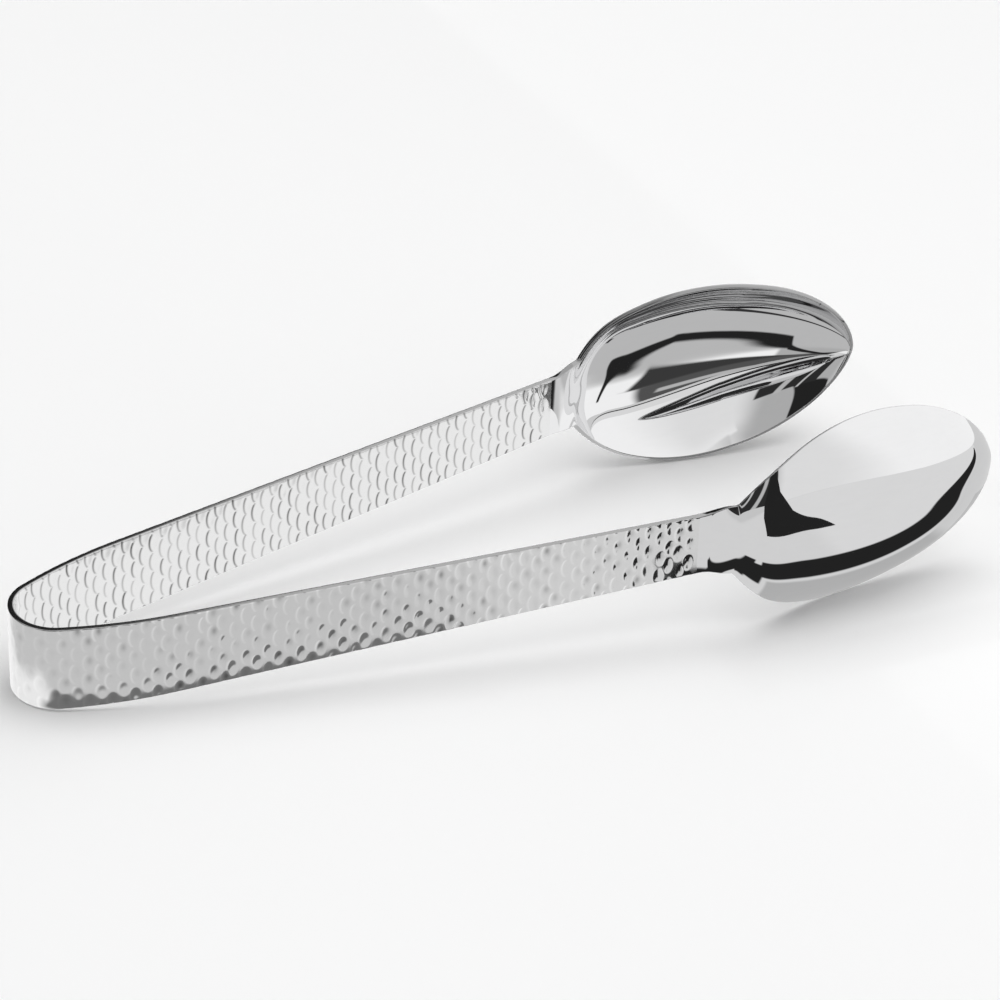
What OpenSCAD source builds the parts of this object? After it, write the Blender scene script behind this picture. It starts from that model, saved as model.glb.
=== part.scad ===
// Serving tongs: one springy steel strip, bent into a U, with a dished spoon at the end of each arm.
// It lies on its side as on a table. X runs from the bend to the spoons, Y across the opening, Z up.
// The strip is drawn lying level around its own middle plane, then tipped until it rests on three
// places: the lower edge of the bend and the lower rims of the two bowls.

/* [Strip] */
// Thickness of the steel strip
strip_t = 1.6; // [1.2:0.1:2.2]
// Width of the strip at the bend
strip_w = 23; // [18:0.5:28]
// Width of the strip where the spoons begin
strip_end_w = 17; // [13:0.5:20]

/* [Bow] */
// Radius of the tight bend, to the middle of the strip
bow_r = 10.7; // [8:0.1:14]
// Angle that each half of the tight bend turns through
bow_turn = 68.7; // [60:0.1:75]
// Radius of the slow curve that leads from the bend into each arm
flare_r = 122; // [90:1:160]

/* [Arms] */
// Length of the straight hammered part of each arm
arm_len = 135.4; // [100:0.2:170]
// Angle between each arm and the middle line when the tongs are open
arm_angle = 7.9; // [6:0.1:10]

/* [Spoon outline] */
// Length of the smooth neck before the bowl
neck_len = 10; // [8:0.5:16]
// Width of the neck where it meets the bowl
neck_w = 19.6; // [16:0.2:22]
// Length of the bowl
bowl_len = 84.2; // [65:0.2:105]
// Width of the bowl across its rim
bowl_w = 51.2; // [40:0.2:62]
// Fullness of the outline at the neck, smaller is fuller
neck_fullness = 0.54; // [0.45:0.01:0.8]
// Fullness of the outline at the tip, smaller is blunter
tip_fullness = 0.6; // [0.5:0.01:0.8]

/* [Spoon form] */
// Thickness of the bowl's wall
bowl_t = 1.3; // [1:0.1:1.6]
// Depth of the bowl
bowl_depth = 12; // [8:0.2:15]
// How far the rim of the bowl curves towards the other bowl, halfway along
rim_sag = 1.9; // [0:0.1:3]
// How far the bowl stands outside the line of its arm, at the neck
bowl_offset = 4.2; // [2:0.1:5]
// Angle by which the bowl leans in towards the other bowl
bowl_lean = 14.9; // [10:0.1:18]
// Angle by which the bowl drops from the line of its arm, seen from the side
bowl_drop = 4; // [2:0.1:6]
// Length over which the flat strip turns into the bowl
blend_len = 29.8; // [24:0.2:36]

/* [Smoothness] */
// Rows of facets along each spoon
spoon_rows = 44; // [24:1:48]
// Facets across each spoon
spoon_facets = 26; // [16:2:28]

/* [Hidden] */

ROUND_FACETS = 180;          // facets of a full turn in the quick view
SPARE = 10;                  // how far a cutting shape reaches past what it trims
SPLICE = 0.1;                // angle by which each slow curve runs on into the tight bend, to be one with it
KEEL_START = 0.3;            // share of the neck that stays flat along its middle
KEEL_RISE = 1.2;             // how gently the keel leaves the neck
KEEL_FALL = 0.75;            // how steeply the keel comes up at the tip
SECTION_ROUND = 2.5;         // roundness of the bowl's cross section
SECTION_WALL = 0.6;          // steepness of the bowl's wall at the rim
OUTLINE_MERGE = 2.2;         // how closely the neck and the bowl outlines follow each other
NECK_FADE = 0.6;             // share of the bowl in which the neck's own width dies out
TIP_CUT = 0.0003;            // share of the bowl left off so that the tip stays a real edge
ROW_CROWDING = 1.7;          // how much closer the rows lie at the tip
STEP = 0.001;                // step of the slopes, as a share of the spoon

steel = [0.78, 0.78, 0.79];
polished = [0.86, 0.86, 0.87];

// Middle line of the left half of the strip: the tight bend, the slow curve, the straight arm.
flare_turn = 90 - arm_angle - bow_turn;
bow_end = [bow_r * (1 - cos(bow_turn)), bow_r * sin(bow_turn)];
flare_centre = bow_end + flare_r * [cos(bow_turn), -sin(bow_turn)];
arm_start = flare_centre + flare_r * [-sin(arm_angle), cos(arm_angle)];
arm_end = arm_start + arm_len * [cos(arm_angle), sin(arm_angle)];

// Spoon: a surface of two shares, u from the strip (0) to the tip (1), s across it from rim to rim
// (-1 to 1). Its own frame has X along the arm, Y outwards and Z up, from the end of the arm.
spoon_len = neck_len + bowl_len;

function clamp01(x) = min(1, max(0, x));
function ease(x) = let (c = clamp01(x)) c * c * c * (c * (6 * c - 15) + 10);

// A rounded hill on 0 to 1 with height 1: rise and fall shape its two feet.
function hill(t, rise, fall) =
    pow(t, rise) * pow(1 - t, fall)
    / (pow(rise / (rise + fall), rise) * pow(fall / (rise + fall), fall));

// Distance along the spoon, closer rows towards the tip.
function along(u) = (spoon_len - TIP_CUT * bowl_len) * (1 - pow(1 - u, ROW_CROWDING));

// Half of the neck's own width, which grows along the neck and dies out inside the bowl.
function neck_half(a) =
    (strip_end_w + (neck_w - strip_end_w) * ease(a / neck_len)) / 2
    * sqrt(clamp01(1 - pow(max(0, a - neck_len) / (NECK_FADE * bowl_len), 2)));

// Half width of the spoon: the neck and the egg outline, merged.
function half_width(a) =
    let (egg = bowl_w / 2 * hill(clamp01((a - neck_len) / bowl_len), neck_fullness, tip_fullness))
    pow(pow(egg, OUTLINE_MERGE) + pow(neck_half(a), OUTLINE_MERGE), 1 / OUTLINE_MERGE);

// Depth of the keel below the rim.
function keel(a) =
    let (flat = KEEL_START * neck_len)
    bowl_depth * hill(clamp01((a - flat) / (spoon_len - flat)), KEEL_RISE, KEEL_FALL);

// A point of the dished sheet as if it went on straight from the arm.
function straight_point(a, v) =
    [a, keel(a) * pow(1 - pow(abs(v), SECTION_ROUND), SECTION_WALL), half_width(a) * v];

// The same point after the bowl drops, leans in and moves out.
function leant_point(a, v) =
    let (
        p = straight_point(a, v),
        t = clamp01((a - neck_len) / bowl_len),
        x0 = a - neck_len,
        y0 = p[1] - rim_sag * 4 * t * (1 - t),
        x1 = x0 * cos(bowl_drop) + p[2] * sin(bowl_drop),
        z1 = p[2] * cos(bowl_drop) - x0 * sin(bowl_drop)
    )
    [neck_len + x1 * cos(bowl_lean) + y0 * sin(bowl_lean),
     bowl_offset + y0 * cos(bowl_lean) - x1 * sin(bowl_lean),
     z1];

// The middle of the sheet: flat strip at the arm, bowl further on.
function sheet_point(u, s) =
    let (a = along(u), v = sin(90 * s), w = ease(a / blend_len))
    (1 - w) * straight_point(a, v) + w * leant_point(a, v);

// Unit vector square to the sheet, pointing outwards, from the slopes along u and s.
function sheet_normal(u, s) =
    let (
        u0 = max(0, u - STEP), u1 = min(1, u + STEP),
        s0 = max(-1, s - STEP), s1 = min(1, s + STEP),
        n = cross(sheet_point(u, s1) - sheet_point(u, s0), sheet_point(u1, s) - sheet_point(u0, s))
    )
    n / norm(n);

function wall_at(u) = strip_t + (bowl_t - strip_t) * ease(along(u) / blend_len);

function row_share(i) = i / (spoon_rows - 1);
function facet_share(j) = 2 * j / spoon_facets - 1;

// One skin of the spoon, side is +1 for the outer and -1 for the inner skin.
function skin(side) = [
    for (i = [0 : spoon_rows - 1], j = [0 : spoon_facets])
        let (u = row_share(i), s = facet_share(j))
        i == 0
            ? [0, side * strip_t / 2, strip_end_w / 2 * sin(90 * s)]
            : sheet_point(u, s) + side * wall_at(u) / 2 * sheet_normal(u, s)
];

spoon_points = concat(skin(1), skin(-1));

// From the spoon's own frame into the frame of the level strip, on the left.
function onto_arm(p) = [
    arm_end[0] + p[0] * cos(arm_angle) - p[1] * sin(arm_angle),
    arm_end[1] + p[0] * sin(arm_angle) + p[1] * cos(arm_angle),
    p[2]
];
placed_points = [for (p = spoon_points) onto_arm(p)];

// Tip of the strip: the least angle that lifts every point of the spoons to the lower edge of the bend.
rest_tip = max([for (p = placed_points) atan(-(p[2] + strip_w / 2) / (p[0] + strip_t / 2))]);
rest_lift = strip_t / 2 * sin(rest_tip) + strip_w / 2 * cos(rest_tip);
back_x = -strip_t / 2 * cos(rest_tip) - strip_w / 2 * sin(rest_tip);
front_x = max([for (p = placed_points) p[0] * cos(rest_tip) - p[2] * sin(rest_tip)]);

// Sets the level strip down on the table, with the origin under the middle of the tongs.
module set_down() {
    translate([-(back_x + front_x) / 2, 0, rest_lift])
        rotate([0, -rest_tip, 0])
            children();
}

// Trims a strip of full width to the straight taper that the whole strip has, seen from the side.
module tapered() {
    slope = (strip_end_w - strip_w) / 2 / arm_end[0];
    reach = arm_end[0] + SPARE;
    wide = arm_end[1] + SPARE;
    back_half = strip_w / 2 + slope * -SPARE;
    front_half = strip_w / 2 + slope * reach;
    intersection() {
        children();
        translate([0, wide, 0])
            rotate([90, 0, 0])
                linear_extrude(height = 2 * wide)
                    polygon([
                        [-SPARE, -back_half], [reach, -front_half],
                        [reach, front_half], [-SPARE, back_half]
                    ]);
    }
}

// A piece of strip bent to a radius around the origin, from one angle through a turn.
module bent_strip(radius, from, turn) {
    rotate([0, 0, from])
        rotate_extrude(angle = turn, $fn = ROUND_FACETS)
            translate([radius - strip_t / 2, -strip_w / 2])
                square([strip_t, strip_w]);
}

// The slow curve between the tight bend and the left arm.
module left_flare() {
    translate([flare_centre[0], flare_centre[1], 0])
        bent_strip(flare_r, 90 + arm_angle, flare_turn + SPLICE);
}

// The hammered part of the left arm, without the taper.
module left_strap() {
    translate([arm_start[0], arm_start[1], -strip_w / 2])
        rotate([0, 0, arm_angle])
            translate([0, -strip_t / 2, 0])
                cube([arm_len, strip_t, strip_w]);
}

// The dished sheet with its walls, as one closed shell in the frame of the level strip.
module left_spoon_shell() {
    across = spoon_facets + 1;
    inner = spoon_rows * across;
    last = inner - across;
    polyhedron(
        points = placed_points,
        faces = concat(
            [for (i = [0 : spoon_rows - 2], j = [0 : across - 2])
                let (k = i * across + j) each [[k, k + 1, k + across], [k + 1, k + across + 1, k + across]]],
            [for (i = [0 : spoon_rows - 2], j = [0 : across - 2])
                let (k = inner + i * across + j)
                    each [[k, k + across, k + 1], [k + 1, k + across, k + across + 1]]],
            [for (i = [0 : spoon_rows - 2])
                let (k = i * across, m = inner + k)
                    each [[k, k + across, m + across], [k, m + across, m]]],
            [for (i = [0 : spoon_rows - 2])
                let (k = i * across + across - 1, m = inner + k)
                    each [[k, m + across, k + across], [k, m, m + across]]],
            [for (j = [0 : across - 2])
                let (k = j, m = inner + j) each [[k, m, m + 1], [k, m + 1, k + 1]]],
            [for (j = [0 : across - 2])
                let (k = last + j, m = inner + k) each [[k, m + 1, m], [k, k + 1, m + 1]]]
        )
    );
}

module spring_bow() {
    color(steel)
        set_down()
            tapered()
                union() {
                    translate([bow_r, 0, 0])
                        bent_strip(bow_r, 180 - bow_turn, 2 * bow_turn);
                    left_flare();
                    mirror([0, 1, 0]) left_flare();
                }
}

module left_arm() {
    color(steel)
        set_down()
            tapered()
                left_strap();
}

module right_arm() {
    color(steel)
        set_down()
            tapered()
                mirror([0, 1, 0]) left_strap();
}

module left_spoon() {
    color(polished)
        set_down()
            left_spoon_shell();
}

module right_spoon() {
    color(polished)
        set_down()
            mirror([0, 1, 0]) left_spoon_shell();
}

spring_bow();
left_arm();
right_arm();
left_spoon();
right_spoon();
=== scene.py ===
"""Hammered steel serving tongs with two spoon bowls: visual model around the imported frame.

One strip of steel is bent into a spring bow, runs out as two hammered arms and widens into two
polished bowls.  Every piece is a closed skin over a mid-surface.  Lengths inside this file are
millimetres and degrees, and are turned into metres when a mesh is made.
"""

import logging
import math
from dataclasses import dataclass, field
from enum import Enum
from typing import Any

import bpy
import numpy as np
from mathutils import Matrix, Vector


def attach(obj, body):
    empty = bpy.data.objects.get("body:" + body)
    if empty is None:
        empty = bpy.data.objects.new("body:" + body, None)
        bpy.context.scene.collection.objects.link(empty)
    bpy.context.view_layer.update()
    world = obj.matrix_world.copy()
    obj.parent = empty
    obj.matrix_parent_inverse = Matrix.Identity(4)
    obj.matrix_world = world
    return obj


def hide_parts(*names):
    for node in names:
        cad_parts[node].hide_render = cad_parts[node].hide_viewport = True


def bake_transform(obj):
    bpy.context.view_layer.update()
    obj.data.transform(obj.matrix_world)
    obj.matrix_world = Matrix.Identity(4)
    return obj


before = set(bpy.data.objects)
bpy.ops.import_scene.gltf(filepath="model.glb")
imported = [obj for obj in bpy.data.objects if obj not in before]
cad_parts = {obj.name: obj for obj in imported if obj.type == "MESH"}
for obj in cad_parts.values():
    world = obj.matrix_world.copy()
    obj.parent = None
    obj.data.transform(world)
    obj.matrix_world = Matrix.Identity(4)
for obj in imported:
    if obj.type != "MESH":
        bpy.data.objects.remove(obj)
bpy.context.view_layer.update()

Array = np.ndarray
Triple = tuple[float, float, float]  # a point or a colour

log = logging.getLogger("tongs")

MM = 0.001  # metres in a millimetre


class Side(Enum):
    """Which arm, by the sign of its y."""

    LEFT = 1
    RIGHT = -1

    @property
    def label(self) -> str:
        """The side's name as the frame spells it."""
        return self.name.lower()


# --------------------------------------------------------------------------- shared shape maths


def hill(t: Array, rise: float, fall: float) -> Array:
    """A hump over 0 to 1 that starts and ends at 0 and peaks at exactly 1.

    The formula is t to the power rise, times (1 - t) to the power fall, over the same at its peak.

    Args:
        t: Places along the hump.
        rise: Power at the start.
        fall: Power at the end.

    Returns:
        The hump's height at each place.
    """
    peak = rise / (rise + fall)
    return t**rise * (1 - t) ** fall / (peak**rise * (1 - peak) ** fall)


def ease(x: Array) -> Array:
    """Goes from 0 to 1 with flat ends: 6 x^5 - 15 x^4 + 10 x^3, with x kept within 0 and 1."""
    c = np.clip(x, 0, 1)
    return c * c * c * (c * (6 * c - 15) + 10)


def unit(v: Array) -> Array:
    """Each vector over its own length."""
    return v / np.maximum(np.linalg.norm(v, axis=-1, keepdims=True), 1e-12)


@dataclass(frozen=True)
class Strip:
    """The strip's sizes, as the part's source has them."""

    thickness: float = 1.6
    width: float = 23.0
    end_width: float = 17.0
    bow_radius: float = 10.7
    bow_turn: float = 68.7
    flare_radius: float = 122.0
    arm_length: float = 135.4
    arm_angle: float = 7.9
    corner: float = 0.24

    @property
    def heading(self) -> float:
        """The turn from the bow's middle to the arm, in radians."""
        return math.radians(90 - self.arm_angle)

    @property
    def tight_length(self) -> float:
        """Length of half the tight bend."""
        return self.bow_radius * math.radians(self.bow_turn)

    @property
    def arm_from(self) -> float:
        """Distance along the strip from the bow's middle to the arm."""
        return self.tight_length + self.flare_radius * (self.heading - math.radians(self.bow_turn))

    def centre(self, s: Array) -> tuple[Array, Array, Array]:
        """The centre-line, seen from above: a tight arc, a wide arc, then a straight.

        With the turn q reached at a distance, an arc of radius r adds r (cos q0 - cos q) to x and
        r (sin q - sin q0) to y, and the straight adds its length along its heading.

        Args:
            s: Signed distances along the strip from the bow's middle; below 0 is the right arm.

        Returns:
            The points (x, y), the outward normals (x, y) and the half widths.
        """
        far, sign = np.abs(s), np.where(s < 0, -1.0, 1.0)
        q0 = math.radians(self.bow_turn)
        tight = np.minimum(far, self.tight_length) / self.bow_radius
        wide = np.clip((far - self.tight_length) / self.flare_radius, 0, self.heading - q0)
        straight = np.maximum(0, far - self.arm_from)
        turn = tight + wide
        x = (
            self.bow_radius * (1 - np.cos(tight))
            + self.flare_radius * (math.cos(q0) - np.cos(q0 + wide))
            + straight * math.sin(self.heading)
        )
        y = (
            self.bow_radius * np.sin(tight)
            + self.flare_radius * (np.sin(q0 + wide) - math.sin(q0))
            + straight * math.cos(self.heading)
        )
        half = (self.width + (self.end_width - self.width) * x / self.arm_end[0]) / 2
        points = np.stack([x, sign * y], -1)
        normals = np.stack([-np.cos(turn), sign * np.sin(turn)], -1)
        return points, normals, half

    @property
    def arm_start(self) -> tuple[float, float]:
        """Where the straight arm starts, (x, y)."""
        q0 = math.radians(self.bow_turn)
        x = self.bow_radius * (1 - math.cos(q0)) + self.flare_radius * (
            math.cos(q0) - math.cos(self.heading)
        )
        y = self.bow_radius * math.sin(q0) + self.flare_radius * (
            math.sin(self.heading) - math.sin(q0)
        )
        return x, y

    @property
    def arm_end(self) -> tuple[float, float]:
        """Where the arm meets the spoon, (x, y)."""
        x, y = self.arm_start
        angle = math.radians(self.arm_angle)
        return x + self.arm_length * math.cos(angle), y + self.arm_length * math.sin(angle)


@dataclass(frozen=True)
class Bowl:
    """The spoon's sizes, as the part's source has them, and what rounds its rim."""

    neck: float = 10.0
    neck_width: float = 19.6
    length: float = 84.2
    width: float = 51.2
    neck_fullness: float = 0.54
    tip_fullness: float = 0.60
    wall: float = 1.3
    depth: float = 12.0
    rim_sag: float = 1.9
    offset: float = 4.2
    lean: float = 14.9
    drop: float = 4.0
    blend: float = 29.8
    keel_start: float = 0.3
    keel_rise: float = 1.2
    keel_fall: float = 0.75
    section_round: float = 3.0
    outline_merge: float = 2.2
    neck_fade: float = 0.6
    rim_corner: float = 0.42

    @property
    def total(self) -> float:
        """Length of neck and bowl."""
        return self.neck + self.length


@dataclass(frozen=True)
class Bench:
    """How the level strip is tipped and set down, so that bow and bowls rest on z = 0."""

    tip: float = 4.77134626933545
    lift: float = 11.526691
    middle: float = 129.8176

    def down(self, p: Array) -> Array:
        """Turns points about y by the tip, centres them on x and lifts them onto the table.

        Args:
            p: Points in the level strip's frame.

        Returns:
            The points in the row frame, still in millimetres.
        """
        c, s = math.cos(math.radians(self.tip)), math.sin(math.radians(self.tip))
        x, y, z = p[..., 0], p[..., 1], p[..., 2]
        return np.stack([x * c - z * s - self.middle, y, x * s + z * c + self.lift], -1)


# --------------------------------------------------------------------------- meshes


@dataclass
class Skin:
    """Points and faces that gather into one closed mesh."""

    points: list[Array] = field(default_factory=list)
    quads: list[Array] = field(default_factory=list)
    triangles: list[Array] = field(default_factory=list)
    count: int = 0

    def add(self, p: Array) -> Array:
        """Adds points and gives back their numbers, in the same grid."""
        flat = p.reshape(-1, 3)
        numbers = self.count + np.arange(len(flat)).reshape(p.shape[:-1])
        self.points.append(flat)
        self.count += len(flat)
        return numbers

    def sheet(self, grid: Array) -> None:
        """Adds a quad for each cell of a grid of point numbers."""
        cells = np.stack([grid[:-1, :-1], grid[1:, :-1], grid[1:, 1:], grid[:-1, 1:]], -1)
        self.quads.append(cells.reshape(-1, 4))

    def cap(self, ring: Array) -> None:
        """Closes an end whose second half mirrors its first.

        A strip of quads runs up the middle, with a triangle at each end.

        Args:
            ring: Point numbers round the end, the first half mirrored by the second.
        """
        half = len(ring) // 2
        near, far = ring[: half + 1], np.append(ring[0], ring[: half - 1 : -1])
        self.quads.append(np.stack([near[1:-2], near[2:-1], far[2:-1], far[1:-2]], -1))
        self.triangles.append(np.array([[near[0], near[1], far[1]], [near[-2], near[-1], far[-2]]]))

    def mesh(self, name: str, sharp_rings: list[Array], painted_light: Array) -> bpy.types.Object:
        """Makes the mesh object, smooth all over except round its ends.

        Args:
            name: The piece's name.
            sharp_rings: Rings of point numbers whose edges stay sharp, so a cap never bends the
                shading of the skin beside it.
            painted_light: Painted light at each point, from -1, painted shade, to 1, painted
            highlight, kept as an attribute that the finish reads.

        Returns:
            The linked object, in metres, its faces outwards.
        """
        points = np.concatenate(self.points) * MM
        quads = np.concatenate(self.quads)
        triangles = np.concatenate(self.triangles) if self.triangles else np.zeros((0, 3), int)
        loops = np.concatenate([quads.ravel(), triangles.ravel()])
        starts = np.concatenate(
            [np.arange(len(quads)) * 4, len(quads) * 4 + np.arange(len(triangles)) * 3]
        )
        data = bpy.data.meshes.new(name)
        data.vertices.add(len(points))
        data.vertices.foreach_set("co", points.astype(np.float32).ravel())
        data.loops.add(len(loops))
        data.loops.foreach_set("vertex_index", loops.astype(np.int32))
        data.polygons.add(len(starts))
        data.polygons.foreach_set("loop_start", starts.astype(np.int32))
        data.update(calc_edges=True)
        data.validate()
        if signed_volume(points, quads, triangles) < 0:
            data.flip_normals()
        data.shade_smooth()
        ends = np.zeros(len(data.edges), bool)
        pairs = np.zeros(len(data.edges) * 2, np.int32)
        data.edges.foreach_get("vertices", pairs)
        for ring in sharp_rings:
            ends |= np.isin(pairs, ring).reshape(-1, 2).all(axis=1)
        sharp = data.attributes.new("sharp_edge", "BOOLEAN", "EDGE")
        sharp.data.foreach_set("value", ends)
        tone = data.attributes.new("painted_light", "FLOAT", "POINT")
        tone.data.foreach_set("value", painted_light.ravel().astype(np.float32))
        piece = bpy.data.objects.new(name, data)
        bpy.context.scene.collection.objects.link(piece)
        return piece


def signed_volume(points: Array, quads: Array, triangles: Array) -> float:
    """Six times the volume inside the faces, below 0 where they point inwards.

    Each face adds the triple product of its corners, a quad as its two triangles.

    Args:
        points: The points.
        quads: Corners of the four-sided faces.
        triangles: Corners of the three-sided faces.

    Returns:
        The signed sum.
    """
    faces = np.concatenate([quads[:, [0, 1, 2]], quads[:, [0, 2, 3]], triangles])
    a, b, c = (points[faces[:, k]] for k in range(3))
    return float(np.einsum("ij,ij->i", a, np.cross(b, c)).sum())


# --------------------------------------------------------------------------- hammer marks

MARKS_UP = 3  # marks above and below the middle of each column
SWELL, SQUASH, UNEVEN = 0.06, 0.05, 0.25  # how much the marks' size, shape and depth vary
FAINTEST = 0.35  # the faintest line, over the strongest
SPOT_RARITY = 1.5  # a power on an even spread: the higher it is, the fewer strong spots
EDGE_HEIGHT = 9.5  # height in the strip past which the marks' painted light is at its strongest
LINE_ENDS = 3.0  # how quickly a mark's line fades in from its two ends
LINE_LEVEL, LINE_RISE = 0.8, 0.3  # a line's strength half way up, and its growth to the top
SPOT_PLACE, SPOT_SIZE = (0.1, 0.25), (0.48, 0.45)  # where the painted shade spot sits along and up the mark, and its size, over the half sizes
END_FADE = 0.8  # the length over which the last marks end at the neck
BOW_DEPTH, BOW_PAINTED_LIGHT = 0.2, 0.35  # what is left of a mark's depth and painted light round the bow


@dataclass(frozen=True)
class Hammer:
    """Hammer marks in staggered columns, on one face of the strip.

    With (u, w) a point's place from a mark's middle over the mark's half sizes, the mark is a
    dish, depth times (1 - u^2 - w^2)^2.  Its wall on the bow's side is the half ellipse
    u = -sqrt(1 - w^2), where the hammer's edge struck: it may be creased, and a line of painted
    light runs along it, a painted highlight on the outer face and painted shade on the inner.
    The dish beyond may hold a spot of painted shade.

    Columns are spaced by column along the strip, and marks by pitch up each column.  Line is the
    half width of crease and line.  Middle_calm weakens the painted light along the strip's middle,
    wander moves each mark a little, and the marks fade in over calm_fade past calm and end at
    reach.
    """

    column: float
    pitch: float
    half_along: float
    half_across: float
    depth: float
    crease: float
    line: float
    # painted light along each mark's struck wall: a painted highlight above 0, painted shade below
    line_painted_light: float
    # painted shade in each mark's dish
    spot_painted_shade: float
    middle_calm: float
    wander: float
    seed: int
    reach: float
    calm: float
    calm_fade: float

    def marks(self) -> Array:
        """The marks, slightly uneven as from a worked roll.

        Returns:
            A row for each: distance along, height, half size along, half size across, depth,
            strength of its painted line and strength of its painted shade spot.
        """
        rng = np.random.default_rng(self.seed)
        last = int(self.reach / self.column)
        columns, rows = np.arange(-last, last + 1), np.arange(-MARKS_UP, MARKS_UP + 1)
        i, j = np.meshgrid(columns, rows, indexing="ij")
        along = i * self.column + self.wander * rng.normal(size=i.shape)
        height = (j + 0.5 * (i % 2) - 0.25) * self.pitch + self.wander * rng.normal(size=i.shape)
        swell = 1 + SWELL * rng.normal(size=i.shape)
        long = self.half_along * swell * (1 + SQUASH * rng.normal(size=i.shape))
        wide = self.half_across * swell
        deep = self.depth * (1 + UNEVEN * np.clip(rng.normal(size=i.shape), -2, 2))
        edge = np.clip(np.abs(height) / EDGE_HEIGHT, 0, 1) ** 2
        strong = 1 - self.middle_calm * (1 - edge)
        drawn = strong * rng.uniform(FAINTEST, 1.0, size=i.shape)
        spotted = strong * rng.uniform(0.0, 1.0, size=i.shape) ** SPOT_RARITY
        return np.stack([along, height, long, wide, deep, drawn, spotted], -1).reshape(-1, 7)

    def press(self, s: Array, z: Array) -> tuple[Array, Array]:
        """How deep the face is hammered and how painted light shifts its tone, fading out round the
        bow.

        Args:
            s: Distances along the strip, the same all along a row.
            z: Heights across it.

        Returns:
            The depth at each point, and the painted light from -1, painted shade, to 1, painted
            highlight.
        """
        dish, crease, tone = (np.zeros(s.shape) for _ in range(3))
        for along, height, long, wide, deep, drawn, spotted in self.marks():
            rows = np.flatnonzero(np.abs(s[:, 0] - along) < 2.0 * self.column)
            if not len(rows):
                continue
            part = slice(rows[0], rows[-1] + 1)
            away = (s[part] - along) * (1.0 if along >= 0 else -1.0)
            u, w = away / long, (z[part] - height) / wide
            inside = np.maximum(1 - w * w, 0)
            dish[part] = np.maximum(dish[part], deep * np.maximum(inside - u**2, 0) ** 2)
            from_wall = (away + long * np.sqrt(inside)) / self.line
            near = np.exp(-(from_wall**2)) * ease(LINE_ENDS * inside)
            crease[part] = np.maximum(crease[part], near)
            spot = np.exp(
                -(((u - SPOT_PLACE[0]) / SPOT_SIZE[0]) ** 2)
                - ((w - SPOT_PLACE[1]) / SPOT_SIZE[1]) ** 2
            )
            # painted light: a line along the struck wall and a spot of painted shade in the dish
            shift = self.line_painted_light * drawn * (LINE_LEVEL + LINE_RISE * w) * near
            shift += self.spot_painted_shade * spotted * spot
            tone[part] = np.where(np.abs(shift) > np.abs(tone[part]), shift, tone[part])
        fade = ease((np.abs(s) - self.calm) / self.calm_fade)
        end = 1 - ease((np.abs(s) - self.reach) / END_FADE)
        depth = (dish + self.crease * crease) * (BOW_DEPTH + (1 - BOW_DEPTH) * fade) * end
        return depth, np.clip(tone * (BOW_PAINTED_LIGHT + (1 - BOW_PAINTED_LIGHT) * fade) * end, -1, 1)


# outer face: painted highlights along the struck walls and spots of painted shade in the dishes
OUTER_MARKS = Hammer(
    column=2.77,
    pitch=5.65,
    half_along=1.45,
    half_across=2.45,
    depth=0.24,
    crease=0.0,
    line=0.30,
    line_painted_light=1.2,
    spot_painted_shade=-0.70,
    middle_calm=0.4,
    wander=0.22,
    seed=11,
    reach=175.9,
    calm=5.0,
    calm_fade=22.0,
)
# inner face: lines of painted shade along the creased walls
INNER_MARKS = Hammer(
    column=2.77,
    pitch=5.65,
    half_along=1.40,
    half_across=2.82,
    depth=0.05,
    crease=0.06,
    line=0.27,
    line_painted_light=-1.45,
    spot_painted_shade=0.0,
    middle_calm=0.25,
    wander=0.14,
    seed=23,
    reach=175.9,
    calm=3.0,
    calm_fade=20.0,
)


# --------------------------------------------------------------------------- shader nodes


class Wire:
    """One number running through a node tree, so that shader maths reads as an expression."""

    def __init__(self, graph: "Graph", socket: bpy.types.NodeSocket) -> None:
        """Keeps the tree and the socket."""
        self.graph = graph
        self.socket = socket

    def _math(self, operation: str, *values: "Wire | float", clamp: bool = False) -> "Wire":
        """Adds a Math node.

        Args:
            operation: The Math node's operation.
            values: What its sockets take, in order.
            clamp: Whether the result is kept within 0 and 1.

        Returns:
            The node's result.
        """
        return self.graph.node(
            "ShaderNodeMath",
            {"operation": operation, "use_clamp": clamp},
            dict(enumerate(values)),
        )

    def __add__(self, other: "Wire | float") -> "Wire":
        """self + other"""
        return self._math("ADD", self, other)

    def __radd__(self, other: "Wire | float") -> "Wire":
        """other + self"""
        return self._math("ADD", other, self)

    def __sub__(self, other: "Wire | float") -> "Wire":
        """self - other"""
        return self._math("SUBTRACT", self, other)

    def __rsub__(self, other: "Wire | float") -> "Wire":
        """other - self"""
        return self._math("SUBTRACT", other, self)

    def __mul__(self, other: "Wire | float") -> "Wire":
        """self * other"""
        return self._math("MULTIPLY", self, other)

    def __rmul__(self, other: "Wire | float") -> "Wire":
        """other * self"""
        return self._math("MULTIPLY", other, self)

    def __truediv__(self, other: "Wire | float") -> "Wire":
        """self / other"""
        return self._math("DIVIDE", self, other)

    def arctan2(self, x: "Wire") -> "Wire":
        """The angle of the point (x, self), in radians."""
        return self._math("ARCTAN2", self, x)

    def arcsine(self) -> "Wire":
        """The angle whose sine it is, in radians."""
        return self._math("ARCSINE", self)

    def clamp(self) -> "Wire":
        """Kept within 0 and 1."""
        return self._math("ADD", self, 0.0, clamp=True)

    def step(self, middle: "Wire | float", soft: float) -> "Wire":
        """Goes from 0 to 1 as self passes the middle, over a width of soft.

        Args:
            middle: Where the result is one half.
            soft: The width of the change.

        Returns:
            The smoothed step, 3 x^2 - 2 x^3.
        """
        x = ((self - middle) / soft + 0.5).clamp()
        return x * x * (3 - 2 * x)

    def within(self, low: "Wire | float", high: "Wire | float", soft: float) -> "Wire":
        """Is 1 between low and high and 0 outside, with both edges as soft as step's."""
        return self.step(low, soft) * (1 - self.step(high, soft))


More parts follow.
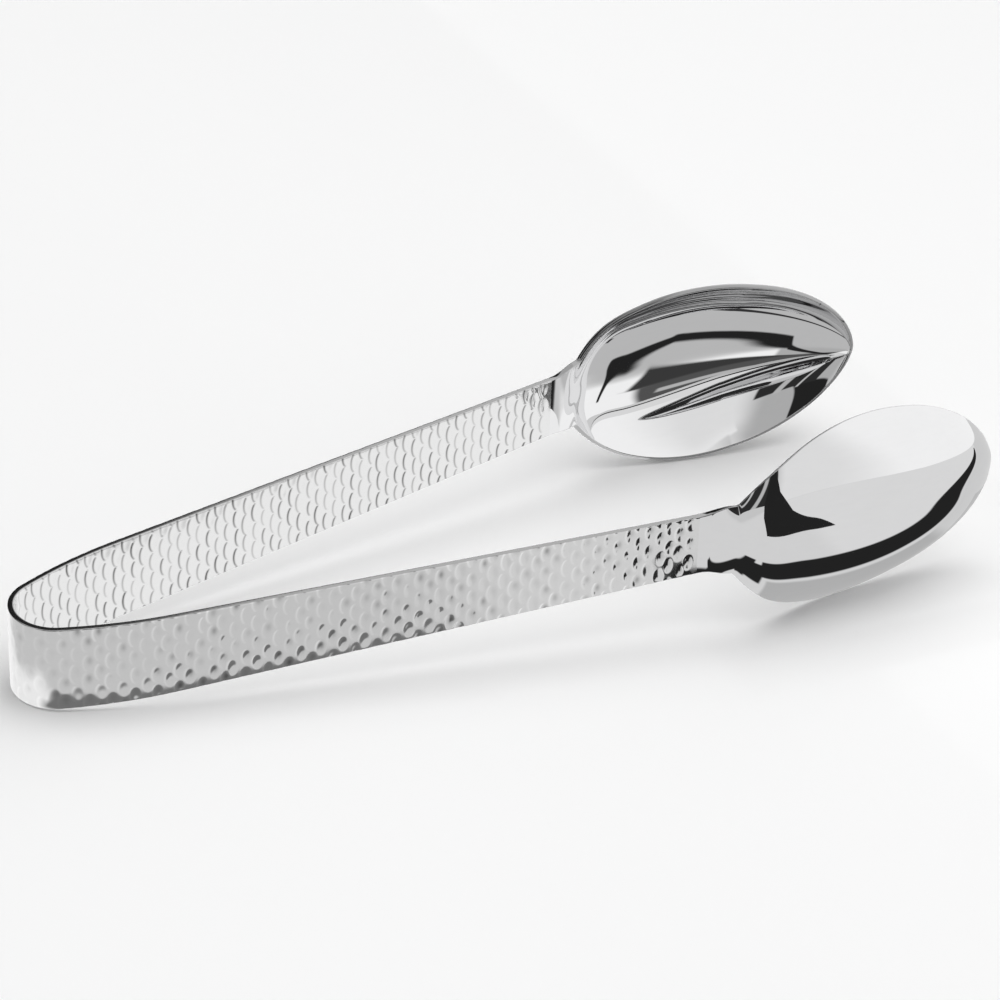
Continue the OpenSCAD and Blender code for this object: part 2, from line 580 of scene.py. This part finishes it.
class Graph:
    """A node tree, filled through one method."""

    MIX_SHARE, MIX_FIRST, MIX_SECOND, MIX_COLOUR = 0, 6, 7, 2  # the Mix node's colour sockets

    def __init__(self, tree: bpy.types.NodeTree) -> None:
        """Empties the tree."""
        tree.nodes.clear()
        self.tree = tree

    def node(
        self,
        kind: str,
        settings: dict[str, Any] | None = None,
        inputs: dict[int | str, Any] | None = None,
        output: int | str = 0,
    ) -> Wire:
        """Adds a node.

        Args:
            kind: The node's type.
            settings: What is set on the node first.
            inputs: The value or Wire of each socket, by name or number.
            output: The output to give back.

        Returns:
            The named output as a Wire.
        """
        made = self.tree.nodes.new(kind)
        for key, value in (settings or {}).items():
            setattr(made, key, value)
        for key, value in (inputs or {}).items():
            if isinstance(value, Wire):
                self.tree.links.new(value.socket, made.inputs[key])
            else:
                made.inputs[key].default_value = value
        return Wire(self, made.outputs[output] if made.outputs else made.inputs[0])

    def mix(self, share: Wire, first: Triple | Wire, second: Triple | Wire) -> Wire:
        """Mixes two colours.

        Args:
            share: How much of the second is in the result, 0 to 1.
            first: One colour.
            second: The other colour.

        Returns:
            The mixed colour.
        """
        ends = [c if isinstance(c, Wire) else (*c, 1.0) for c in (first, second)]
        inputs = {self.MIX_SHARE: share, self.MIX_FIRST: ends[0], self.MIX_SECOND: ends[1]}
        return self.node("ShaderNodeMix", {"data_type": "RGBA"}, inputs, self.MIX_COLOUR)

    def noise(self, place: Wire, scale: float, detail: float) -> Wire:
        """A cloud of noise, 0 to 1.

        Args:
            place: Where it is read.
            scale: How small the clouds are.
            detail: How many finer sizes are added.

        Returns:
            The noise.
        """
        inputs = {"Vector": place, "Scale": scale, "Detail": detail}
        return self.node("ShaderNodeTexNoise", {}, inputs, "Fac")


PAINTED_SHADE = (0.06, 0.06, 0.06)  # painted shade: the colour the painted light darkens the steel towards
# painted highlight: the colour the painted light brightens the steel towards
PAINTED_HIGHLIGHT = (1.0, 1.0, 1.0)
CLOUD_SIZE = 38.0  # scale of the slow noise in the steel's tone
DARKER = 0.93  # the steel's tone at its darkest, over its tone at its palest
GRAIN_HEIGHT = 0.02 * MM
EDGE_PAINTED_SHADE = 0.55  # how far the cut edges are darkened towards the painted shade colour: painted shade along the edges


@dataclass(frozen=True)
class Steel:
    """A steel finish: its tone, its gloss and how both vary over the surface.

    Grain is the strength of the fine bump, grain_size the scale of its noise, and stretch what
    each axis of that noise is multiplied by, so that a low value draws it out along the axis.
    """

    name: str
    tone: Triple
    gloss: float
    gloss_swing: float
    grain: float
    grain_size: float
    stretch: Triple

    def material(self) -> bpy.types.Material:
        """Bare steel: two sizes of noise vary its tone and gloss, and the finer is its grain.

        The mesh's painted_light attribute then darkens it with painted shade where it is below 0
        and brightens it with a painted highlight above.

        Returns:
            The material.
        """
        material = bpy.data.materials.new(f"{self.name}_look")
        material.use_nodes = True
        graph = Graph(material.node_tree)
        place = graph.node("ShaderNodeTexCoord", output="Object")
        drawn = graph.node(
            "ShaderNodeMapping", {"vector_type": "POINT"}, {"Vector": place, "Scale": self.stretch}
        )
        cloud = graph.noise(place, CLOUD_SIZE, 3.0)
        lines = graph.noise(drawn, self.grain_size, 4.0)
        rough = self.gloss + self.gloss_swing * (cloud + lines - 1.0)
        dark = tuple(DARKER * c for c in self.tone)
        tint = graph.mix((0.5 * cloud + 0.5 * lines).clamp(), dark, self.tone)
        # painted light from the mesh: painted shade below 0, painted highlight above
        painted_light = graph.node("ShaderNodeAttribute", {"attribute_name": "painted_light"}, {}, "Fac")
        shaded_tint = graph.mix((painted_light * -1.0).clamp(), tint, PAINTED_SHADE)
        colour = graph.mix(painted_light.clamp(), shaded_tint, PAINTED_HIGHLIGHT)
        bump = graph.node(
            "ShaderNodeBump",
            {},
            {"Strength": self.grain, "Distance": GRAIN_HEIGHT, "Height": lines},
        )
        shader = graph.node(
            "ShaderNodeBsdfPrincipled",
            {},
            {"Base Color": colour, "Metallic": 1.0, "Roughness": rough.clamp(), "Normal": bump},
        )
        graph.node("ShaderNodeOutputMaterial", {}, {"Surface": shader})
        return material


HAMMERED = Steel(
    name="hammered_steel",
    tone=(0.80, 0.80, 0.80),
    gloss=0.10,
    gloss_swing=0.06,
    grain=0.25,
    grain_size=900.0,
    stretch=(1.0, 1.0, 1.0),
)
POLISHED = Steel(
    name="polished_steel",
    tone=(0.82, 0.82, 0.825),
    gloss=0.02,
    gloss_swing=0.015,
    grain=0.03,
    grain_size=700.0,
    stretch=(0.25, 1.0, 1.0),
)


def dress(piece: bpy.types.Object, finish: Steel) -> None:
    """Gives a piece its finish.

    Args:
        piece: The piece.
        finish: Its steel.
    """
    made = bpy.data.materials.get(f"{finish.name}_look") or finish.material()
    piece.data.materials.append(made)


# --------------------------------------------------------------------------- the strap


@dataclass(frozen=True)
class Profile:
    """A rounded rectangle as four weights, so one ring serves every width and thickness.

    A point lies at height c (b - r) + e r and offset g (t - r) + h r, with b the half width,
    t the half thickness and r the corner's radius.
    """

    across: int = 60
    corner_steps: int = 4
    edge_steps: int = 2

    def weights(self) -> tuple[Array, Array, Array, Array]:
        """The ring's c, e, g and h, from the lower edge's middle up the outer face and back.

        Returns:
            The four arrays, the second half mirroring the first.
        """
        turn = np.linspace(0, math.pi / 2, self.corner_steps + 1)[1:-1]
        edge = np.linspace(0, 1, self.edge_steps + 1)
        face = np.linspace(-1, 1, self.across + 1)
        one = np.ones_like
        c = np.concatenate([-one(edge), -one(turn), face, one(turn), one(edge)])
        e = np.concatenate([-one(edge), -np.cos(turn), 0 * face, np.cos(turn[::-1]), one(edge)])
        g = np.concatenate([edge, one(turn), one(face), one(turn), edge[::-1]])
        h = np.concatenate([0 * edge, np.sin(turn), one(face), np.sin(turn[::-1]), 0 * edge])
        back = slice(-2, 0, -1)
        return (
            np.concatenate([c, c[back]]),
            np.concatenate([e, e[back]]),
            np.concatenate([g, -g[back]]),
            np.concatenate([h, -h[back]]),
        )


@dataclass
class Strap:
    """A length of hammered strip: the rounded rectangle carried along the centre-line."""

    name: str
    node: str
    start: float
    end: float
    strip: Strip
    bench: Bench
    profile: Profile = field(default_factory=Profile)
    spacing: float = 0.215

    def build(self) -> bpy.types.Object:
        """Carries the profile along the centre-line, dishes both faces, paints the marks' light and
        shade and paints shade along the cut edges.

        Returns:
            The piece, dressed and standing for its node.
        """
        rows = int(round(abs(self.end - self.start) / self.spacing)) + 1
        s = np.linspace(self.start, self.end, rows)
        centre, normal, half = self.strip.centre(s)
        c, e, g, h = self.profile.weights()
        r = self.strip.corner
        z = c * (half[:, None] - r) + e * r
        offset = g * (self.strip.thickness / 2 - r) + h * r + 0 * z
        along = s[:, None] + 0 * z
        outer, outer_painted_light = OUTER_MARKS.press(along, z)
        inner, inner_painted_light = INNER_MARKS.press(along, z)
        offset += np.maximum(-h, 0) * inner - np.maximum(h, 0) * outer
        # the hammer marks' painted light: highlights on the outer face, shade on the inner
        tone = np.maximum(h, 0) * outer_painted_light + np.maximum(-h, 0) * inner_painted_light
        # painted shade along the cut edges
        tone = tone - EDGE_PAINTED_SHADE * (1 - np.abs(h))
        plan = centre[:, None, :] + normal[:, None, :] * offset[..., None]
        points = self.bench.down(np.concatenate([plan, z[..., None]], -1))
        skin = Skin()
        numbers = skin.add(points)
        skin.sheet(np.concatenate([numbers, numbers[:, :1]], 1))
        skin.cap(numbers[0])
        skin.cap(numbers[-1][np.r_[0, len(numbers[-1]) - 1 : 0 : -1]])
        piece = skin.mesh(self.name, [numbers[0], numbers[-1]], tone)
        dress(piece, HAMMERED)
        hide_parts(self.node)
        return piece


@dataclass
class SpringBow:
    """The bend that springs the arms apart."""

    strip: Strip
    bench: Bench

    def build(self) -> list[bpy.types.Object]:
        """One length of strap from arm to arm, fixed to the bow's body."""
        reach = self.strip.arm_from
        piece = Strap("bow_strap", "spring_bow", -reach, reach, self.strip, self.bench).build()
        return [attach(piece, "bow")]


@dataclass
class HammeredArm:
    """A straight arm, from where it leaves the bow."""

    side: Side
    strip: Strip
    bench: Bench
    bend: float = 62.0

    def build(self) -> list[bpy.types.Object]:
        """One length of strap, its place baked into its mesh."""
        label, sign = self.side.label, self.side.value
        start, end = self.strip.arm_from, self.strip.arm_from + self.strip.arm_length
        piece = Strap(
            f"{label}_strap", f"{label}_arm", sign * start, sign * end, self.strip, self.bench
        ).build()
        marks = self.strip.centre(sign * np.array([start, start + self.bend]))[0]
        ends = self.bench.down(np.concatenate([marks, np.zeros((2, 1))], 1)) * MM
        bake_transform(piece)
        return [piece]


# --------------------------------------------------------------------------- the spoon


@dataclass
class Spoon:
    """A neck and bowl: one polished shell over a mid-surface, with a rounded rim.

    Turned_rows is the share of the rows that bend round the tip.  The way out over the rim is
    found from a point rim_inset inside it, and rim_hold is a power: the higher it is, the nearer
    the rim stays the part of the skins that is drawn in for the rounding.
    """

    side: Side
    strip: Strip
    bowl: Bowl
    bench: Bench
    rows: int = 230
    turned_rows: float = 0.56
    across: int = 120
    rim_steps: int = 8
    rim_inset: float = 0.004
    rim_hold: int = 14

    def middle(self, a: Array, v: Array) -> Array:
        """The mid-surface.

        The outline's half width is a power mean of an egg and the fading neck.  The section is
        the keel's depth times 1 - |v|^n, where a high n makes its floor flat.  The bowl is then
        dropped, leaned out and blended onto the straight neck.

        Args:
            a: Distances from the arm's end.
            v: Places across, from -1 to 1.

        Returns:
            Points (along the arm, outwards, up).
        """
        b = self.bowl
        t = np.clip((a - b.neck) / b.length, 0, 1)
        egg = b.width / 2 * hill(t, b.neck_fullness, b.tip_fullness)
        start = self.strip.end_width
        fade = np.clip(1 - (np.maximum(0, a - b.neck) / (b.neck_fade * b.length)) ** 2, 0, 1)
        neck = (start + (b.neck_width - start) * ease(a / b.neck)) / 2 * np.sqrt(fade)
        half = (egg**b.outline_merge + neck**b.outline_merge) ** (1 / b.outline_merge)
        flat = b.keel_start * b.neck
        keel = b.depth * hill(
            np.clip((a - flat) / (b.total - flat), 0, 1), b.keel_rise, b.keel_fall
        )
        out = keel * np.maximum(1 - np.abs(v) ** b.section_round, 0)
        up = half * v
        along = a - b.neck
        out_b = out - b.rim_sag * 4 * t * (1 - t)
        cd, sd = math.cos(math.radians(b.drop)), math.sin(math.radians(b.drop))
        cl, sl = math.cos(math.radians(b.lean)), math.sin(math.radians(b.lean))
        along_b = along * cd + up * sd
        up_b = up * cd - along * sd
        leaned = np.stack(
            [b.neck + along_b * cl + out_b * sl, b.offset + out_b * cl - along_b * sl, up_b], -1
        )
        plain = np.stack([a + 0 * v, out, up], -1)
        w = ease(a / b.blend)[..., None]
        return (1 - w) * plain + w * leaned

    def grid(self, x: Array, y: Array) -> Array:
        """The mid-surface over a grid whose far rows bend round the tip.

        Before the bowl's widest place the rows are straight.  Past it, the half square (x, y) is
        laid onto a half disc, x sqrt(1 - y^2 / 2) and y sqrt(1 - x^2 / 2), so that the last row
        runs along the rim and the tip is no pole.

        Args:
            x: From the arm's end, -1, to the tip, 1.
            y: Across, -1 to 1.

        Returns:
            Points of the mid-surface.
        """
        b = self.bowl
        half_way = b.neck + 0.5 * b.length
        ahead = np.maximum(x, 0)
        disc_x = ahead * np.sqrt(1 - y**2 / 2)
        disc_y = y * np.sqrt(1 - ahead**2 / 2)
        room = np.sqrt(np.maximum(1 - disc_x**2, 1e-9))
        v = np.clip(disc_y / room, -1, 1)
        a = np.where(x < 0, half_way * (1 + x), half_way + (b.total - half_way) * disc_x)
        return self.middle(np.minimum(a, b.total - 1e-6), v)

    def place(self, p: Array) -> Array:
        """Turns spoon points onto their arm, mirrors them for the right side and sets them down."""
        angle = math.radians(self.strip.arm_angle)
        c, s = math.cos(angle), math.sin(angle)
        x0, y0 = self.strip.arm_end
        x = x0 + p[..., 0] * c - p[..., 1] * s
        y = y0 + p[..., 0] * s + p[..., 1] * c
        return self.bench.down(np.stack([x, self.side.value * y, p[..., 2]], -1))

    def build(self) -> list[bpy.types.Object]:
        """Offsets the mid-surface to both sides and rounds the rim between the two skins.

        The normal is the cross product of the surface's differences across and along.  At the rim
        the skins stop one corner radius short, and quarter circles and a flat join them.

        Returns:
            The spoon, dressed and riding on its side's body.
        """
        b, eps, inset = self.bowl, 1e-3, self.rim_inset
        straight = int(self.rows * (1 - self.turned_rows))
        ahead = np.sin(np.linspace(0, math.pi / 2, self.rows - straight))
        x = np.concatenate([np.linspace(-1, 0, straight + 1)[:-1], ahead])[:, None]
        q = np.linspace(-1, 1, self.across + 1)[None, :]
        y = np.sin(math.pi / 2 * q)
        x, y = np.broadcast_arrays(x, y)
        p = self.grid(x, y)
        y_up, y_down = np.minimum(y + eps, 1), np.maximum(y - eps, -1)
        x_up, x_down = np.minimum(x + eps, 1), np.maximum(x - eps, -1)
        normal = unit(
            np.cross(
                self.grid(x, y_up) - self.grid(x, y_down), self.grid(x_up, y) - self.grid(x_down, y)
            )
        )
        a = p[..., :1]
        half = (self.strip.thickness + (b.wall - self.strip.thickness) * ease(a / b.blend)) / 2
        corner = self.strip.corner + (b.rim_corner - self.strip.corner) * ease(a / b.blend)
        outward = p - self.grid(x * (1 - inset * (x > 0)), y * (1 - inset))
        side = unit(outward - np.sum(outward * normal, -1, keepdims=True) * normal)
        near_rim = np.maximum(np.abs(y), np.where(x > 0, x, 0)) ** self.rim_hold
        slid = p - side * corner * near_rim[..., None]
        skin = Skin()
        outer = skin.add(self.place(slid + normal * half))
        inner = skin.add(self.place(slid - normal * half))
        skin.sheet(outer)
        skin.sheet(inner[:, ::-1])
        path = [
            (np.arange(self.rows), np.zeros(self.rows, int)),
            (np.full(self.across - 1, self.rows - 1), np.arange(1, self.across)),
            (np.arange(self.rows)[::-1], np.full(self.rows, self.across)),
        ]
        i, j = (np.concatenate([part[k] for part in path]) for k in range(2))
        turn = np.linspace(0, math.pi / 2, self.rim_steps // 2)[1:, None, None]
        push = slid[i, j][None] + side[i, j][None] * corner[i, j][None] * np.sin(turn)
        thick = half[i, j][None] - corner[i, j][None] * (1 - np.cos(turn))
        out_part = push + normal[i, j][None] * thick
        in_part = (push - normal[i, j][None] * thick)[::-1]
        rim = skin.add(self.place(np.concatenate([out_part, in_part])))
        band = np.concatenate([outer[i, j][None], rim, inner[i, j][None]])
        skin.sheet(band)
        low, high = band[:, 0], band[:, -1]
        k = len(low) // 2
        ring = np.concatenate(
            [low[:k][::-1], outer[0, 1:-1], high[:k], high[k:], inner[0, 1:-1][::-1], low[k:][::-1]]
        )
        self.close_end(skin, ring)
        # painted shade round the rounded rim
        rim_painted_shade = EDGE_PAINTED_SHADE * np.sin(turn[:, 0, 0])
        painted_light = np.zeros(skin.count)
        painted_light[rim] = -np.concatenate([rim_painted_shade, rim_painted_shade[::-1]])[:, None]
        piece = skin.mesh(f"{self.side.label}_bowl", [ring], painted_light)
        dress(piece, POLISHED)
        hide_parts(f"{self.side.label}_spoon")
        return [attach(piece, f"{self.side.label}_side")]

    @staticmethod
    def close_end(skin: Skin, ring: Array) -> None:
        """Closes the end at the arm with quads from the ring's first half to its mirror.

        Args:
            skin: The spoon's skin.
            ring: Point numbers round the end, the first half mirrored by the second.
        """
        half = len(ring) // 2
        near, far = ring[:half], ring[half:][::-1]
        skin.quads.append(np.stack([near[:-1], near[1:], far[1:], far[:-1]], -1))


# --------------------------------------------------------------------------- the studio

WHITE = (1.0, 1.0, 1.0, 1.0)
TABLE_HALF_SIZE, TABLE_HEIGHT = 3.0, -0.2 * MM
TABLE_SHADES = ((0.94, 0.94, 0.94), (0.96, 0.96, 0.96))
TABLE_CLOUD, TABLE_ROUGHNESS = 3.0, 0.9
CARD_REACH, CARD_HEIGHT = 9000.0, -0.1
FLAG_Y, FLAG_LEVEL = -93.0, 0.02
FLAG_OUTLINE = ((52, 0), (100, 0), (75, 24), (58, 52), (47, 106), (39, 62), (38, 40), (43, 20))


@dataclass(frozen=True)
class Panel:
    """A soft-edged patch of the surroundings, between two bearings and two heights.

    Bearings run from +x towards +y in degrees, heights from the horizon up.  Slope is how much
    the two heights rise for each degree of bearing past the first, and lean how much the two
    bearings grow for each degree of height past the first.
    """

    from_bearing: float
    to_bearing: float
    from_height: float
    to_height: float
    level: float
    soft: float = 3.0
    slope: float = 0.0
    lean: float = 0.0


SURROUNDINGS = (
    # white tent overhead
    Panel(-181, 181, -91, 91, 0.85, 1.0),
    # greyer tent on the side of the eye
    Panel(-181, -70, -91, 91, 0.50, 30.0),
    # dark wall behind the tongs
    Panel(52, 181, -91, 47, 0.03, 6.0),
    # the large softbox in front and to the right, paler towards its left end
    Panel(-90, 55, -28, 64, 1.08, 3.0, lean=0.15),
    Panel(-98, -58, -12, 64, 0.88, 24.0, lean=0.15),
    # dark patch high up behind the eye
    Panel(-170, -118, 38, 72, 0.02, 3.0, lean=-0.75),
    # dark gap to the left of the softbox, with two pale stripes
    Panel(-150, -96, -12, 40, 0.03, 2.0, lean=0.1),
    Panel(-125, -119, -12, 42, 0.55, 2.0, lean=0.3),
    Panel(-141, -138, -12, 42, 0.60, 1.5, lean=0.3),
    # below the table's gap: a grey floor
    Panel(-181, 50, -91, -28, 0.58, 3.0),
    # a dark plinth beside it, with a pale edge
    Panel(-181, -47.5, -9, -0.6, 0.05, 1.2, slope=-0.15),
    Panel(-181, -49.0, -21, -0.6, 0.10, 2.0, lean=-0.2),
    Panel(-181, -54, -9, -6, 0.55, 1.2, slope=-0.06),
    # a dark rail bent round the plinth, and its thin shadow
    Panel(-96, -48, -31.6, -27.5, 0.02, 1.3, slope=-0.107),
    Panel(-50, -41, -36.6, -32.2, 0.02, 1.3, slope=0.55),
    Panel(-44.5, -41, -32, -18, 0.02, 1.3, lean=0.6),
    Panel(-150, -94, -10.5, -7.5, 0.02, 0.9, slope=-0.35),
    # two dark joints in the floor
    Panel(-181, 60, -62, -58, 0.04, 0.8),
    Panel(-20, 60, -47, -44, 0.04, 0.8),
)


@dataclass(frozen=True)
class Patch:
    """A soft-edged rectangle of painted light or painted shade on the glowing cards that stand for
    the table in the steel, in millimetres.
    """

    from_x: float
    to_x: float
    from_y: float
    to_y: float
    level: float
    soft: float = 4.0
    skew: float = 0.0


# painted light and painted shadow of the table, shown only in the steel by the glowing cards
TABLE_LIGHT_AND_SHADE = (
    # lit table
    Patch(-9000, 9000, -9000, 9000, 0.68, 1.0),
    Patch(-10, 9000, -9000, 9000, 0.78, 40.0),
    Patch(-140, 116, -14, 60, 1.04, 8.0),
    # the softbox's light on the table in front
    Patch(92, 9000, -9000, -66, 0.84, 10.0),
    # greyer strip beneath the near bowl
    Patch(58, 9000, -50, -34, 0.52, 2.0),
    # shade at the foot of the near arm
    Patch(-128, -20, -16.6, -9.0, 0.20, 2.5, skew=-0.265),
    # lit table to the right
    Patch(128, 9000, -54, 9000, 0.72, 12.0),
    # dark strip on the cards in front of the near bowl
    Patch(52, 900, -68, -52, 0.02, 1.5, skew=-0.02),
    Patch(39.5, 47, -68, -44, 0.02, 1.5),
    Patch(45, 55, -64, -46, 0.02, 1.5),
)


@dataclass(frozen=True)
class Eye:
    """Where the camera stands, by its bearings and distance from a target in the tongs."""

    azimuth: float = -34.18
    elevation: float = 30.96
    roll: float = 6.97
    distance: float = 1079.7
    target: Triple = (4.85, 3.88, 22.77)
    lens: float = 154.8
    sensor: float = 36.0
    clip: tuple[float, float] = (0.05, 20.0)

    def make(self) -> bpy.types.Object:
        """Places the camera: back points from the target to it, and roll turns it about back.

        Returns:
            The camera, made the scene's own.
        """
        a, e, roll = (math.radians(v) for v in (self.azimuth, self.elevation, self.roll))
        back = Vector((math.sin(a) * math.cos(e), -math.cos(a) * math.cos(e), math.sin(e)))
        right = Vector((math.cos(a), math.sin(a), 0.0))
        up = back.cross(right)
        across = right * math.cos(roll) + up * math.sin(roll)
        upright = up * math.cos(roll) - right * math.sin(roll)
        data = bpy.data.cameras.new("camera")
        data.lens, data.sensor_width = self.lens, self.sensor
        data.clip_start, data.clip_end = self.clip
        camera = bpy.data.objects.new("camera", data)
        turn = Matrix((across, upright, back)).transposed().to_4x4()
        place = Vector(self.target) * MM + back * self.distance * MM
        camera.matrix_world = Matrix.Translation(place) @ turn
        bpy.context.scene.collection.objects.link(camera)
        bpy.context.scene.camera = camera
        return camera


@dataclass
class Studio:
    """A white tent with one big softbox, dark gaps that steel needs, and a pale table.

    The gap is the part of the table, from west to east and from south to north, through which
    steel sees the surroundings below.
    """

    panels: tuple[Panel, ...] = SURROUNDINGS
    backdrop: float = 1.0
    lamp_power: float = 10.5
    lamp_size: float = 1.6
    lamp_height: float = 1.5
    gap: tuple[float, float, float, float] = (74.0, 160.0, -34.0, 95.0)

    def surroundings(self) -> None:
        """Paints the panels over each other by direction, and shows the camera plain white."""
        world = bpy.data.worlds.new("tent")
        world.use_nodes = True
        graph = Graph(world.node_tree)
        way = graph.node("ShaderNodeTexCoord", output="Generated")
        x, y, z = (graph.node("ShaderNodeSeparateXYZ", {}, {0: way}, k) for k in ("X", "Y", "Z"))
        bearing = y.arctan2(x) * math.degrees(1)
        height = z.arcsine() * math.degrees(1)
        level: Wire | float = self.panels[0].level
        for panel in self.panels[1:]:
            tall = height - (bearing - panel.from_bearing) * panel.slope
            wide = bearing - (height - panel.from_height) * panel.lean
            across = wide.within(panel.from_bearing, panel.to_bearing, panel.soft)
            mask = across * tall.within(panel.from_height, panel.to_height, panel.soft)
            level = mask * panel.level + (1 - mask) * level
        seen = graph.node("ShaderNodeLightPath", output="Is Camera Ray")
        strength = seen * self.backdrop + (1 - seen) * level
        light = graph.node("ShaderNodeBackground", {}, {"Color": WHITE, "Strength": strength})
        graph.node("ShaderNodeOutputWorld", {}, {"Surface": light})
        bpy.context.scene.world = world

    def table(self) -> bpy.types.Object:
        """A pale matt table top.  Steel mirrors the cards instead of it."""
        size, z = TABLE_HALF_SIZE, TABLE_HEIGHT
        data = bpy.data.meshes.new("table")
        corners = [(-size, -size, z), (size, -size, z), (size, size, z), (-size, size, z)]
        data.from_pydata(corners, [], [(0, 1, 2, 3)])
        table = bpy.data.objects.new("table", data)
        bpy.context.scene.collection.objects.link(table)
        table.visible_glossy = False
        material = bpy.data.materials.new("pale_table")
        material.use_nodes = True
        graph = Graph(material.node_tree)
        place = graph.node("ShaderNodeTexCoord", output="Object")
        tint = graph.mix(graph.noise(place, TABLE_CLOUD, 2.0), *TABLE_SHADES)
        shader = graph.node(
            "ShaderNodeBsdfPrincipled", {}, {"Base Color": tint, "Roughness": TABLE_ROUGHNESS}
        )
        graph.node("ShaderNodeOutputMaterial", {}, {"Surface": shader})
        data.materials.append(material)
        return table

    def mirrored(self, name: str, corners: list[Triple]) -> bpy.types.Object:
        """A flat card that only mirror rays meet, so the steel shows it and nothing else does.

        Args:
            name: The card's name.
            corners: Its corners in order, in millimetres.

        Returns:
            The card, still without a material.
        """
        data = bpy.data.meshes.new(name)
        data.from_pydata([Vector(c) * MM for c in corners], [], [tuple(range(len(corners)))])
        card = bpy.data.objects.new(name, data)
        bpy.context.scene.collection.objects.link(card)
        card.visible_camera = card.visible_diffuse = card.visible_shadow = False
        card.visible_transmission = card.visible_volume_scatter = False
        return card

    def glow(self, card: bpy.types.Object, patches: tuple[Patch, ...]) -> None:
        """Paints a card's glow, patch over patch, by its Object coordinates: painted light and
        painted shade that only the steel mirrors.

        Args:
            card: The card.
            patches: What is painted, the first as the ground.
        """
        material = bpy.data.materials.new(card.name)
        material.use_nodes = True
        graph = Graph(material.node_tree)
        place = graph.node("ShaderNodeTexCoord", output="Object")
        x, y = (
            graph.node("ShaderNodeSeparateXYZ", {}, {0: place}, k) * (1 / MM) for k in ("X", "Y")
        )
        level: Wire | float = patches[0].level
        for patch in patches[1:]:
            cross = y - (x - patch.from_x) * patch.skew
            along = x.within(patch.from_x, patch.to_x, patch.soft)
            mask = along * cross.within(patch.from_y, patch.to_y, patch.soft)
            level = mask * patch.level + (1 - mask) * level
        light = graph.node("ShaderNodeEmission", {}, {"Color": WHITE, "Strength": level})
        graph.node("ShaderNodeOutputMaterial", {}, {"Surface": light})
        card.data.materials.append(material)

    def cards(self) -> None:
        """Glowing cards that stand for the table in the steel, painted with its light and shade,
        with the gap between them, and a black flag.
        """
        far, z = CARD_REACH, CARD_HEIGHT
        west, east, south, north = self.gap
        for name, x0, x1, y0, y1 in (
            ("table_west", -far, west, -far, far),
            ("table_east", east, far, -far, far),
            ("table_south", west, east, -far, south),
            ("table_north", west, east, north, far),
        ):
            card = self.mirrored(name, [(x0, y0, z), (x1, y0, z), (x1, y1, z), (x0, y1, z)])
            self.glow(card, TABLE_LIGHT_AND_SHADE)
        flag = self.mirrored("black_flag", [(x, FLAG_Y, height) for x, height in FLAG_OUTLINE])
        self.glow(flag, (Patch(0, 0, 0, 0, FLAG_LEVEL),))

    def lamp(self) -> bpy.types.Object:
        """A wide soft lamp overhead, which lights the table and isn't mirrored in the steel."""
        data = bpy.data.lights.new("overhead", "AREA")
        data.shape, data.size = "DISK", self.lamp_size
        data.energy = self.lamp_power
        lamp = bpy.data.objects.new("overhead", data)
        lamp.location = (0.0, 0.0, self.lamp_height)
        bpy.context.scene.collection.objects.link(lamp)
        lamp.visible_glossy = False
        lamp.visible_camera = False
        return lamp

    def build(self) -> None:
        """Sets up the tent, table, lamp, camera and the plain view transform."""
        self.surroundings()
        self.table()
        self.cards()
        self.lamp()
        Eye().make()
        bpy.context.scene.view_settings.view_transform = "Standard"
        bpy.context.scene.view_settings.look = "None"


# --------------------------------------------------------------------------- the object


def main() -> None:
    """Builds the studio and the tongs' pieces in order, and reports each one."""
    logging.basicConfig(level=logging.INFO, format="%(name)s: %(message)s")
    Studio().build()
    strip, bowl, bench = Strip(), Bowl(), Bench()
    assemblies = [SpringBow(strip, bench)]
    for side in Side:
        assemblies.append(HammeredArm(side, strip, bench))
        assemblies.append(Spoon(side, strip, bowl, bench))
    for assembly in assemblies:
        for piece in assembly.build():
            data = piece.data
            data.calc_loop_triangles()
            points, triangles = len(data.vertices), len(data.loop_triangles)
            log.info("%s: %d points, %d triangles", piece.name, points, triangles)


if __name__ == "__main__":
    main()
